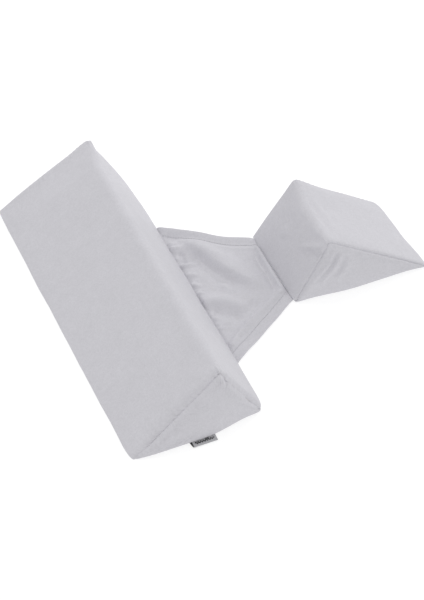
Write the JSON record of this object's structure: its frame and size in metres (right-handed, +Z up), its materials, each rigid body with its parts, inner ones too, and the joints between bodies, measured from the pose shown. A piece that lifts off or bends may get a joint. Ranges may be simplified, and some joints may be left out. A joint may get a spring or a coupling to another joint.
{
  "type": "side-sleep support pillow",
  "caption": "Side-sleeping support pillow: a long and a short triangular foam wedge in zipped jersey covers, joined by a tapering hemmed cloth panel that lies flat between them.",
  "frame": {"origin": "centre of the bounding box, on the plane that both wedges rest on", "axes": "+X from the long wedge to the short wedge, +Y along the wedges, away from the label, +Z up"},
  "size_m": [0.3408, 0.362, 0.0572],
  "materials": {
    "jersey": "soft matt knit",
    "foam": "open-cell foam",
    "thread": "spun thread",
    "zip_tape": "woven tape",
    "zip_coil": "satin nylon",
    "zip_metal": "painted die-cast zinc",
    "label": "woven satin ribbon"
  },
  "bodies": {
    "large_wedge": {"large_foam_core": "foam", "large_wrap_panel": "jersey", "large_base_panel": "jersey", "large_near_end_panel": "jersey", "large_near_seam_thread": "thread", "large_far_end_panel": "jersey", "large_far_seam_thread": "thread", "large_inner_seam_thread": "thread", "link_large_seam_thread": "thread", "large_zip_tape_inner": "zip_tape", "large_zip_coil_inner": "zip_coil", "large_zip_stitch_inner": "thread", "large_zip_tape_outer": "zip_tape", "large_zip_coil_outer": "zip_coil", "large_zip_stitch_outer": "thread", "large_zip_top_stops": "zip_metal", "large_zip_bottom_stop": "zip_metal", "side_label": "label"},
    "link": {"link_panel": "jersey", "link_near_hem_thread": "thread", "link_far_hem_thread": "thread"},
    "small_wedge": {"small_foam_core": "foam", "small_wrap_panel": "jersey", "small_base_panel": "jersey", "small_near_end_panel": "jersey", "small_near_seam_thread": "thread", "small_far_end_panel": "jersey", "small_far_seam_thread": "thread", "small_inner_seam_thread": "thread", "link_small_seam_thread": "thread", "small_zip_tape_inner": "zip_tape", "small_zip_coil_inner": "zip_coil", "small_zip_stitch_inner": "thread", "small_zip_tape_outer": "zip_tape", "small_zip_coil_outer": "zip_coil", "small_zip_stitch_outer": "thread", "small_zip_top_stops": "zip_metal", "small_zip_bottom_stop": "zip_metal"},
    "large_zip_slider": {"large_zip_slider": "zip_metal"},
    "large_zip_pull": {"large_zip_pull": "zip_metal"},
    "small_zip_slider": {"small_zip_slider": "zip_metal"},
    "small_zip_pull": {"small_zip_pull": "zip_metal"}
  },
  "joints": [
    {"name": "link_fold_large", "type": "hinge", "parent": "large_wedge", "child": "link", "pos_m": [-0.03865, -0.008, 0.00075], "axis": [0, -1, 0], "range_deg": [-90, 65]},
    {"name": "link_fold_small", "type": "hinge", "parent": "link", "child": "small_wedge", "pos_m": [0.03865, -0.008, 0.00075], "axis": [0, -1, 0], "range_deg": [-90, 65]},
    {"name": "large_zip_slide", "type": "slide", "parent": "large_wedge", "child": "large_zip_slider", "axis": [0, -1, 0], "range_m": [0, 0.317]},
    {"name": "large_zip_pull_flip", "type": "hinge", "parent": "large_zip_slider", "child": "large_zip_pull", "pos_m": [-0.10519, 0.1645, 0.0016], "axis": [1, 0, 0], "range_deg": [0, 170]},
    {"name": "small_zip_slide", "type": "slide", "parent": "small_wedge", "child": "small_zip_slider", "axis": [0, 1, 0], "range_m": [0, 0.067]},
    {"name": "small_zip_pull_flip", "type": "hinge", "parent": "small_zip_slider", "child": "small_zip_pull", "pos_m": [0.10519, -0.0415, 0.0016], "axis": [-1, 0, 0], "range_deg": [0, 170]}
  ]
}
